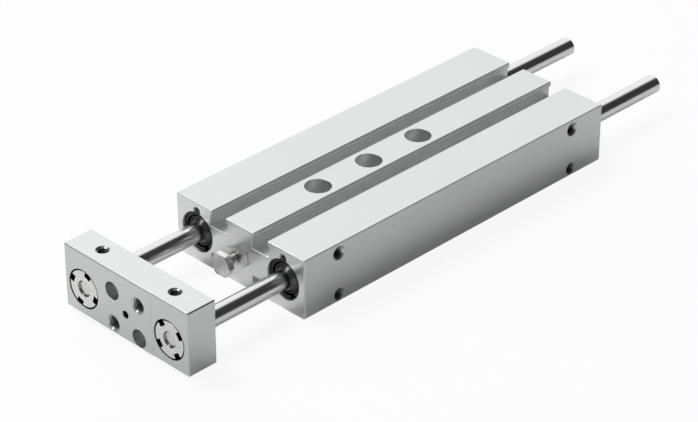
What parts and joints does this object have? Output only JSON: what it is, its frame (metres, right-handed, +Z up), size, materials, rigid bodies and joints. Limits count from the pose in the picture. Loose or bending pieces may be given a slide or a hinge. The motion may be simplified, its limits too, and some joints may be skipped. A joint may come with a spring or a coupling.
{
  "type": "double piston cylinder",
  "caption": "Guided pneumatic cylinder: side-by-side pistons on through rods, joined by a front yoke plate, in a T-slotted block with a stop screw.",
  "frame": {"origin": "centre of the middle mounting hole, on the underside of the housing", "axes": "+Z up out of the counterbores, +Y along the rods towards their free rear ends, the yoke plate at -Y"},
  "size_m": [0.054, 0.2094, 0.0222],
  "materials": {
    "anodised_aluminium": "fine bead-blasted, clear anodised",
    "turned_aluminium": "turned",
    "polished_steel": "hard-chromed and ground",
    "stainless_steel": "polished",
    "zinc_steel": "bright zinc plated",
    "black_steel": "oiled black oxide",
    "black_polymer": "moulded, slight gloss",
    "rubber": "smooth moulded",
    "bearing_bronze": "sintered, oil filled",
    "magnet": "dull ferrite"
  },
  "bodies": {
    "cylinder": {"housing": "anodised_aluminium", "lock_nut": "zinc_steel", "front_left_retaining_ring": "black_steel", "front_left_cartridge": "black_polymer", "front_left_o_ring": "rubber", "front_left_wiper_case": "stainless_steel", "front_left_wiper_lip": "rubber", "front_left_bearing_bush": "bearing_bronze", "front_left_rod_seal": "rubber", "front_right_retaining_ring": "black_steel", "front_right_cartridge": "black_polymer", "front_right_o_ring": "rubber", "front_right_wiper_case": "stainless_steel", "front_right_wiper_lip": "rubber", "front_right_bearing_bush": "bearing_bronze", "front_right_rod_seal": "rubber", "rear_left_retaining_ring": "black_steel", "rear_left_cartridge": "black_polymer", "rear_left_o_ring": "rubber", "rear_left_wiper_case": "stainless_steel", "rear_left_wiper_lip": "rubber", "rear_left_bearing_bush": "bearing_bronze", "rear_left_rod_seal": "rubber", "rear_right_retaining_ring": "black_steel", "rear_right_cartridge": "black_polymer", "rear_right_o_ring": "rubber", "rear_right_wiper_case": "stainless_steel", "rear_right_wiper_lip": "rubber", "rear_right_bearing_bush": "bearing_bronze", "rear_right_rod_seal": "rubber"},
    "carriage": {"yoke_plate": "anodised_aluminium", "left_piston_rod": "polished_steel", "left_rod_nut": "zinc_steel", "left_piston": "turned_aluminium", "left_magnet_ring": "magnet", "left_front_piston_seal": "rubber", "left_front_cushion": "rubber", "left_rear_piston_seal": "rubber", "left_rear_cushion": "rubber", "right_piston_rod": "polished_steel", "right_rod_nut": "zinc_steel", "right_piston": "turned_aluminium", "right_magnet_ring": "magnet", "right_front_piston_seal": "rubber", "right_front_cushion": "rubber", "right_rear_piston_seal": "rubber", "right_rear_cushion": "rubber"},
    "stop": {"stop_screw": "zinc_steel"}
  },
  "joints": [
    {"name": "yoke_slide", "type": "slide", "parent": "cylinder", "child": "carriage", "axis": [0, -1, 0], "range_m": [-0.025, 0.025]},
    {"name": "stop_screw_adjust", "type": "slide", "parent": "cylinder", "child": "stop", "axis": [0, 1, 0], "range_m": [0, 0.003]}
  ]
}
